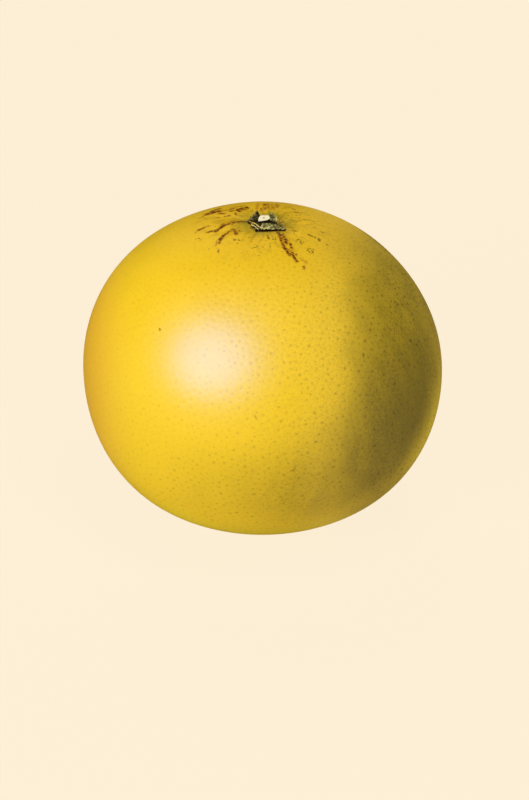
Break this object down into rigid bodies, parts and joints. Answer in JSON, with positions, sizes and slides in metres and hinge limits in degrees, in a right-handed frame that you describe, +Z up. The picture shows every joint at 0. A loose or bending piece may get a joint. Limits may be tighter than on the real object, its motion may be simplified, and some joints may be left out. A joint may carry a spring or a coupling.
{
  "type": "duncan grapefruit",
  "caption": "Whole round yellow grapefruit, slightly flattened, with a dried calyx and a cut stem stub, resting on a small flat spot.",
  "frame": {"origin": "centre of the small flat spot that the fruit rests on", "axes": "+Z up along the fruit's axis, stem end up; -Y towards the side that the picture shows"},
  "size_m": [0.1202, 0.1196, 0.1102],
  "materials": {
    "rind": "satin, pored",
    "dried_calyx": "dry, rough",
    "cut_stem": "dry, cut"
  },
  "bodies": {
    "root": {"fruit": "rind", "calyx": "dried_calyx", "stem_stub": "cut_stem"}
  },
  "joints": []
}
